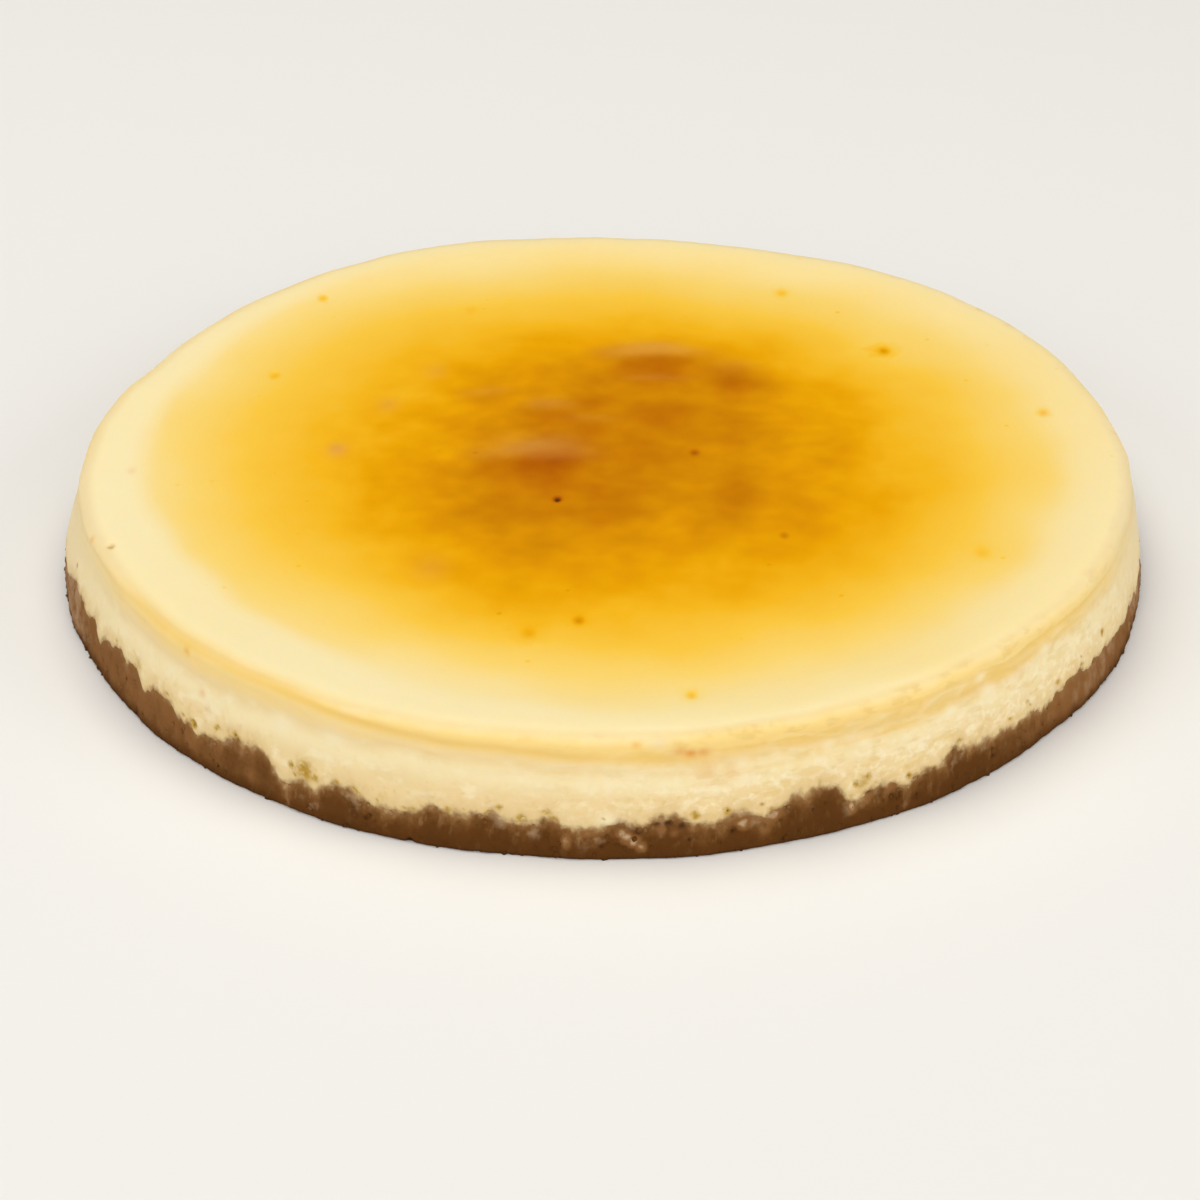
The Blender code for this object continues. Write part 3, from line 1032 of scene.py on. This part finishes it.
class NodeSheet:
    """Lays out the shader nodes of one material."""

    def __init__(self, name: str) -> None:
        """Starts a named material with only a Principled shader."""
        self.material = bpy.data.materials.new(name)
        self.material.use_nodes = True
        self.tree = self.material.node_tree
        self.shader = self.tree.nodes["Principled BSDF"]
        self.where = self.add("TexCoord", {}, "Object")

    def feed(self, socket: bpy.types.NodeSocket, value: object) -> None:
        """Gives a socket a wire, a shade or what a plain socket takes."""
        if isinstance(value, Wire):
            self.tree.links.new(value.socket, socket)
        else:
            socket.default_value = value.linear if isinstance(value, Shade) else value

    def add(self, kind: str, inputs: dict, output: int | str = 0, **settings: str) -> Wire:
        """Adds a node.

        Args:
            kind: Its type, without ShaderNode.
            inputs: Values by socket.
            output: The output to read.
            settings: The node's own settings.

        Returns:
            The output.
        """
        node = self.tree.nodes.new(f"ShaderNode{kind}")
        for name, value in settings.items():
            setattr(node, name, value)
        for key, value in inputs.items():
            self.feed(node.inputs[key], value)
        return Wire(self, node.outputs[output])

    def span(self, value: Wire, low: float, high: float, start: float = 0, end: float = 1) -> Wire:
        """Maps low to high smoothly onto start to end, and holds the ends."""
        inputs = dict(enumerate((value, low, high, start, end)))
        return self.add("MapRange", inputs, interpolation_type="SMOOTHSTEP")

    def grain(self, size: float, detail: float = 2, fine: float = 1) -> Wire:
        """Gives noise from 0 to 1 of a grain in millimetres, some times finer up and down."""
        where = self.add("Mapping", {"Vector": self.where, "Scale": (1, 1, fine)})
        return self.add("TexNoise", {"Vector": where, "Scale": 1 / (size * MM), "Detail": detail}, "Fac")

    def noise(self, size: float, detail: float, depth: float, tall: float = 1) -> Wire:
        """Gives noise round 0, scaled to a depth, with its grain some times taller than wide."""
        return (self.grain(size, detail, 1 / tall) + -0.5) * depth

    def patches(self, size: float, detail: float, fine: float, *limits: float) -> Wire:
        """Gives soft patches of noise between two limits; a third is how strong they get."""
        return self.span(self.grain(size, detail, fine), limits[0], limits[1], 0, limits[2])

    def mark(self, mark: Mark) -> Wire:
        """Reads one of the mesh's marks."""
        return self.add("Attribute", {}, "Fac", attribute_name=mark.value)

    def axis(self, name: str) -> Wire:
        """Reads X, Y or Z of the point."""
        return self.add("SeparateXYZ", {0: self.where}, name)

    def ramp(self, value: Wire, *stops: tuple[float, Shade]) -> Wire:
        """Turns a value into a colour.

        Args:
            value: What to read.
            stops: Place and shade of each stop, in order.

        Returns:
            The colour.
        """
        colour = self.add("ValToRGB", {0: value}, "Color")
        elements = colour.socket.node.color_ramp.elements
        for place, _ in stops[1:-1]:
            elements.new(place)
        for element, (place, shade) in zip(elements, stops):
            element.position, element.color = place, shade.linear
        return colour

    def blend(self, share: Wire, first: Wire, second: Wire | Shade) -> Wire:
        """Mixes two colours, by the share of the second."""
        inputs = {MIX_SHARE: share, MIX_FIRST: first, MIX_SECOND: second}
        return self.add("Mix", inputs, MIX_RESULT, data_type="RGBA")

    def paint(self, colour: Wire, *coats: tuple[Wire, Shade]) -> Wire:
        """Lays coats over a colour in order, each a share and a shade."""
        for share, shade in coats:
            colour = self.blend(share, colour, shade)
        return colour

    def bump(self, height: Wire, strength: float, depth: float) -> None:
        """Roughens the surface below the size that the mesh can show, to a depth in metres."""
        relief = {"Height": height, "Strength": strength, "Distance": depth}
        self.feed(self.shader.inputs["Normal"], self.add("Bump", relief))

    def surface(self, **values: object) -> bpy.types.Material:
        """Sets the shader's sockets, with _ in a name for a space, and gives the material."""
        for name, value in values.items():
            self.feed(self.shader.inputs[name.replace("_", " ")], value)
        return self.material


class Shade(Enum):
    """Colours as a screen shows them, from 0 to 255."""

    PALE_RIM_AND_HIGHLIGHT = (255, 234, 182)
    RIM_CREAM = (255, 227, 160)
    BUTTER = (255, 213, 110)
    STRAW = (255, 200, 66)
    CORN = (248, 183, 28)
    GOLD = (237, 165, 0)
    HONEY = (225, 149, 0)
    AMBER = (213, 137, 0)
    TOFFEE = (197, 117, 0)
    SCORCHED = (180, 92, 0)
    CHARRED = (96, 52, 8)
    SIDE_WHITE = (250, 235, 198)
    SIDE_CREAM = (246, 228, 181)
    SIDE_STRAW = (238, 213, 160)
    SIDE_TAN = (224, 195, 140)
    SIDE_YOLK = (220, 186, 106)
    SIDE_SHADE_AND_HIGHLIGHT = (241, 218, 167)
    SHOULDER = (246, 215, 142)
    LIP_SIDE = (247, 216, 140)
    LIP_CREST = (251, 225, 167)
    GROOVE = (238, 198, 106)
    OLIVE = (190, 152, 66)
    PIT_SHADE = (120, 84, 30)
    PALE_SPOT_AND_HIGHLIGHT = (226, 158, 74)
    CRUMB_TOP = (158, 119, 77)
    CRUMB_TOAST = (140, 96, 54)
    CRUMB_LIGHT = (135, 95, 54)
    CRUMB_MIDDLE = (111, 72, 34)
    CRUMB = (96, 58, 23)
    CRUMB_DARK = (88, 53, 20)
    CRUMB_HAZE = (180, 146, 110)
    CRUMB_VEIL = (200, 172, 134)
    CRUMB_SHADE = (52, 30, 12)
    FLOOR = (243, 240, 234)

    @property
    def linear(self) -> tuple[float, float, float, float]:
        """The shade as the shader counts it."""
        parts = [part / 255.0 for part in self.value]
        return (*((p / 12.92 if p < 0.04045 else ((p + 0.055) / 1.055) ** 2.4) for p in parts), 1.0)


SKIN_SHADES = tuple(
    Shade[name] for name in "RIM_CREAM BUTTER STRAW CORN GOLD HONEY AMBER TOFFEE SCORCHED CHARRED".split()
)


class SideFinish(NodeSheet):
    """The colours of the side, which the custard and the crumb share where they meet."""

    depth: float = 8
    tallest: float = 25 * MM

    def custard(self, ragged: Wire) -> Wire:
        """Colours the custard: cream, yellower at the shoulder, tan over the crumb.

        Args:
            ragged: Millimetres above the crumb line.

        Returns:
            The colour.
        """
        height, lumpy = self.axis("Z"), self.span(self.axis("X"), -45 * MM, 35 * MM)
        level = height + self.noise(25, 2, 3 * MM) + self.noise(6, 2, 2 * MM)
        low = self.span(height, 17 * MM, 21 * MM, 1, 0)
        lower = self.span(height, 17 * MM, 20.5 * MM, 1, 0)
        near = self.span(ragged, 1, 8, 0.55, 0.1)
        colour = self.ramp(
            level * (1 / self.tallest),
            *((0.36, Shade.SIDE_STRAW), (0.5, Shade.SIDE_STRAW), (0.63, Shade.SIDE_CREAM)),
            *((0.68, Shade.SIDE_CREAM), (0.77, Shade.SIDE_STRAW), (0.86, Shade.SHOULDER)),
            *((0.93, Shade.LIP_SIDE), (0.99, Shade.LIP_CREST)),
        )
        return self.paint(
            colour,
            (self.patches(5, 4, 1.6, 0.5, 0.68, 0.6) * low, Shade.SIDE_WHITE),
            (self.patches(2.1, 3, 1, 0.54, 0.72, 0.8) * near * low, Shade.SIDE_YOLK),
            (self.patches(2.1, 3, 1.3, 0.47, 0.66, 0.7) * lower * lumpy, Shade.SIDE_WHITE),
            (self.patches(5, 4, 2.6, 0.48, 0.66, 0.34) * lumpy, Shade.SIDE_YOLK),
            (self.span(ragged, 0.2, 4.2, 0.75, 0), Shade.SIDE_TAN),
        )

    def crumb(self) -> Wire:
        """Colours the crumb: milky by the custard, darker towards the foot, in soft columns, with a painted
        contact shadow along the foot.

        Returns:
            The colour.
        """
        depth = self.mark(Mark.EDGE) * -1.0 + self.noise(3.4, 3, 5, 2.6)
        depth += self.noise(1.2, 3, 2.4)
        veil = self.patches(5, 3, 1, 0.56, 0.72, 0.5) * self.span(depth, 1, 5, 1, 0)
        streaks = self.patches(1.5, 3, 0.4, 0.56, 0.7, 0.5)
        colour = self.ramp(
            depth * (1 / self.depth),
            *((0, Shade.CRUMB_TOP), (0.12, Shade.CRUMB_LIGHT), (0.3, Shade.CRUMB_MIDDLE)),
            *((0.5, Shade.CRUMB), (0.95, Shade.CRUMB_DARK)),
        )
        return self.paint(
            colour,
            (veil, Shade.CRUMB_VEIL),
            (streaks * self.span(depth, 0.5, 6, 1, 0.15), Shade.CRUMB_TOP),
            # Painted contact shadow along the foot.
            (self.span(self.axis("Z"), 0.1 * MM, 1 * MM, 0.4, 0), Shade.CRUMB_SHADE),
        )

    def side(self) -> Wire:
        """Mixes custard and crumb along the ragged line between them."""
        ragged = self.noise(1.4, 4, 2.6, 1.3) + self.mark(Mark.EDGE)
        ragged += self.noise(0.5, 2, 0.7)
        share = self.span(ragged, -1.1, 1.1, 1, 0)
        return self.blend(share, self.custard(ragged), self.crumb())


class CustardFinish(SideFinish):
    """Baked skin over cream custard: amber in the middle, paler to the rim, cream at the side."""

    browned: float = 0.78
    roughness: float = 0.45
    centre: Triple = (3.5 * MM, -2 * MM, 0)
    hottest: float = 1.3
    pore: float = 0.8 * MM
    pore_gap: float = 7 * MM
    pore_share: float = 0.35

    def finished(self) -> bpy.types.Material:
        """Joins the colours and the surface.

        Returns:
            The finished material.
        """
        wall = self.mark(Mark.WALL)
        side = self.paint(
            self.side(),
            # Painted shade at the side's ends and back, and painted highlight on its ridges.
            (self.mark(Mark.RIM) * self.span(self.mark(Mark.EDGE), 1.5, 6, 0, 0.9), Shade.SIDE_SHADE_AND_HIGHLIGHT),
            # Painted shade in the side's creases.
            (self.mark(Mark.GROOVE) * 0.65, Shade.GROOVE),
            # Painted highlight on raised lumps of the side.
            (self.mark(Mark.HAZE) * 0.8, Shade.SIDE_WHITE),
            (self.mark(Mark.SCORCH) * wall, Shade.GOLD),
        )
        hollow = self.mark(Mark.HOLLOW) * (self.noise(1, 3, 2.4) + 1)
        colour = self.paint(
            self.blend(wall, self.skin(), side),
            # Painted highlight on blister ridges, with real pale spots and smears.
            (self.mark(Mark.PALE), Shade.PALE_SPOT_AND_HIGHLIGHT),
            (self.span(hollow, 0, 0.6), Shade.OLIVE),
            # Painted shade in the pits' dark cores; the olive round them is their colour.
            (self.span(hollow, 0.6, 1), Shade.PIT_SHADE),
        )
        gloss = self.span(self.grain(3), 0.3, 0.7, self.roughness - 0.05, self.roughness + 0.06)
        self.bump(self.grain(0.8, 3), 0.25, 0.1 * MM)
        within = {"Subsurface_Radius": (1, 0.6, 0.25), "Subsurface_Scale": 2 * MM}
        within |= {"Subsurface_Weight": 0.35, "Specular_IOR_Level": 0.03, "IOR": 1.4}
        return self.surface(Base_Color=colour, Roughness=gloss, **within)

    def skin(self) -> Wire:
        """Colours the top by how far it is from the middle, mottled where it browned, under the pale rim
        and a painted highlight along the crest.

        Returns:
            The colour.
        """
        level = self.add("VectorMath", {0: self.where, 1: (1, 1, 0)}, operation="MULTIPLY")
        reach = self.add("VectorMath", {0: level, 1: self.centre}, "Value", operation="DISTANCE")
        reach += self.noise(38, 2, 18 * MM)
        bake = self.span(reach, 4 * MM, 120 * MM, self.browned, 0)
        mottle = self.noise(16, 2, 0.54) + self.noise(6, 1.5, 0.15)
        bake += mottle * self.span(bake, 0.12, 0.66)
        cell = self.add("TexVoronoi", {"Vector": self.where, "Scale": 1 / self.pore_gap}, "Distance")
        pick = self.add("SeparateColor", {0: Wire(self, cell.socket.node.outputs["Color"])})
        pore = self.pore / self.pore_gap
        pores = self.span(cell, 0.3 * pore, pore, 1, 0) * self.span(pick, 1 - self.pore_share, 1)
        bake = bake + pores * 0.13 + self.mark(Mark.SCORCH)
        places = (0, 0.1, 0.2, 0.32, 0.44, 0.56, 0.66, 0.8, 1, 1.3)
        stops = zip((place / self.hottest for place in places), SKIN_SHADES)
        colour = self.ramp(bake * (1 / self.hottest), *stops)
        # Pale rim, and the painted highlight along the crest.
        return self.blend(self.mark(Mark.RIM), colour, Shade.PALE_RIM_AND_HIGHLIGHT)


class CrumbFinish(SideFinish):
    """Pressed and baked biscuit crumb, darker towards the foot."""

    marks: tuple[Mark, ...] = (Mark.EDGE, Mark.HOLLOW, Mark.PALE, Mark.HAZE)

    def finished(self) -> bpy.types.Material:
        """Joins the colours and the surface.

        Returns:
            The finished material.
        """
        broken = self.noise(1.3, 3, 1.1) + 1
        pale, dark = self.mark(Mark.PALE) * broken, self.mark(Mark.HOLLOW) * broken
        haze = self.mark(Mark.HAZE) * (self.noise(2.8, 4, 2, 1.6) + 1)
        above = self.span(self.axis("Z"), 0.3 * MM, 3.8 * MM)
        colour = self.paint(
            self.side(),
            (self.span(haze, 0, 0.5, 0, 0.85) * above, Shade.CRUMB_TOAST),
            (self.span(haze, 0.5, 1.1, 0, 0.7) * above, Shade.CRUMB_HAZE),
            (self.span(pale, 0.08, 0.5, 0, 0.85), Shade.CRUMB_TOAST),
            (self.span(pale, 0.5, 1, 0, 0.9), Shade.CRUMB_VEIL),
            # Painted shade in the holes between crumbs and in the crack.
            (self.span(dark, 0.1, 0.9), Shade.CRUMB_SHADE),
        )
        self.bump(self.grain(0.5, 3), 0.6, 0.2 * MM)
        return self.surface(Base_Color=colour, Roughness=0.85, Specular_IOR_Level=0.04)


@dataclass(frozen=True)
class SoftLight:
    """A rectangular lamp that faces a point."""

    name: str
    place: Triple
    size: float
    power: float
    target: Triple = (0.0, 0.0, 0.01)

    def build(self) -> None:
        """Adds the lamp to the scene."""
        lamp = bpy.data.lights.new(self.name, "AREA")
        lamp.size = self.size
        lamp.energy = self.power
        obj = linked(self.name, lamp)
        obj.location = self.place
        obj.rotation_euler = (Vector(self.target) - obj.location).to_track_quat("-Z", "Y").to_euler()


@dataclass
class Studio:
    """The pale floor, the soft light and the camera."""

    eye: Triple = (0.0003, -0.6258, 0.3550)
    look_down: float = 30.49
    look_right: float = -0.11
    lens: float = 96.3
    floor_size: float = 8.0
    world_light: float = 0.1

    def floor(self) -> None:
        """Lays the floor under the cake."""
        mesh = bmesh.new()
        bmesh.ops.create_grid(mesh, x_segments=1, y_segments=1, size=0.5 * self.floor_size)
        data = bpy.data.meshes.new("floor")
        mesh.to_mesh(data)
        mesh.free()
        sheet = NodeSheet("floor_paint")
        sheet.surface(Base_Color=Shade.FLOOR.linear, Roughness=0.9, Specular_IOR_Level=0.1)
        data.materials.append(sheet.material)
        obj = linked("floor", data)
        obj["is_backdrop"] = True

    def light(self) -> None:
        """Sets a dim pale sky and four large soft lamps."""
        world = bpy.data.worlds.new("studio")
        world.use_nodes = True
        background = world.node_tree.nodes["Background"]
        background.inputs["Color"].default_value = (1.0, 0.99, 0.97, 1.0)
        background.inputs["Strength"].default_value = self.world_light
        bpy.context.scene.world = world
        for lamp in (
            SoftLight("overhead", (-0.2, 0.3, 1.6), 1.8, 20.5),
            SoftLight("front", (0.2, -2.0, 1.0), 2.0, 19.5),
            SoftLight("right", (2.0, -0.9, 1.0), 1.6, 19.0),
            SoftLight("left", (-2.0, -0.9, 1.0), 1.6, 15.0),
        ):
            lamp.build()

    def camera(self) -> None:
        """Sets the camera."""
        data = bpy.data.cameras.new("camera")
        data.lens = self.lens
        data.sensor_width = 36.0
        obj = linked("camera", data)
        obj.location = self.eye
        obj.rotation_euler = (radians(90.0 - self.look_down), 0.0, radians(-self.look_right))
        bpy.context.scene.camera = obj

    def build(self) -> None:
        """Sets up floor, light, camera and plain colour handling."""
        self.floor()
        self.light()
        self.camera()
        bpy.context.scene.view_settings.view_transform = "Standard"


def report(piece: bpy.types.Object) -> None:
    """Logs a piece's name and size."""
    size = ", ".join(f"{side / MM:.1f}" for side in piece.dimensions)
    LOG.info("%s: %d faces, %s mm", piece.name, len(piece.data.polygons), size)


def main() -> None:
    """Builds the cake and its studio."""
    logging.basicConfig(level=logging.INFO, format="%(name)s: %(message)s")
    Studio().build()
    form = CakeForm()
    sizes = [f"{size / MM:.2f}" for size in (form.radius, form.joint, form.crest)]
    LOG.info("radius, joint and crest: %s mm", ", ".join(sizes))
    for maker in (Custard(form), BiscuitBase(form), LooseCrumbs(form)):
        report(maker.build())
    boxes = {"cad": CAD_BOX, "visual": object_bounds()}
    {name: [list(corner) for corner in box] for name, box in boxes.items()}


if __name__ == "__main__":
    main()
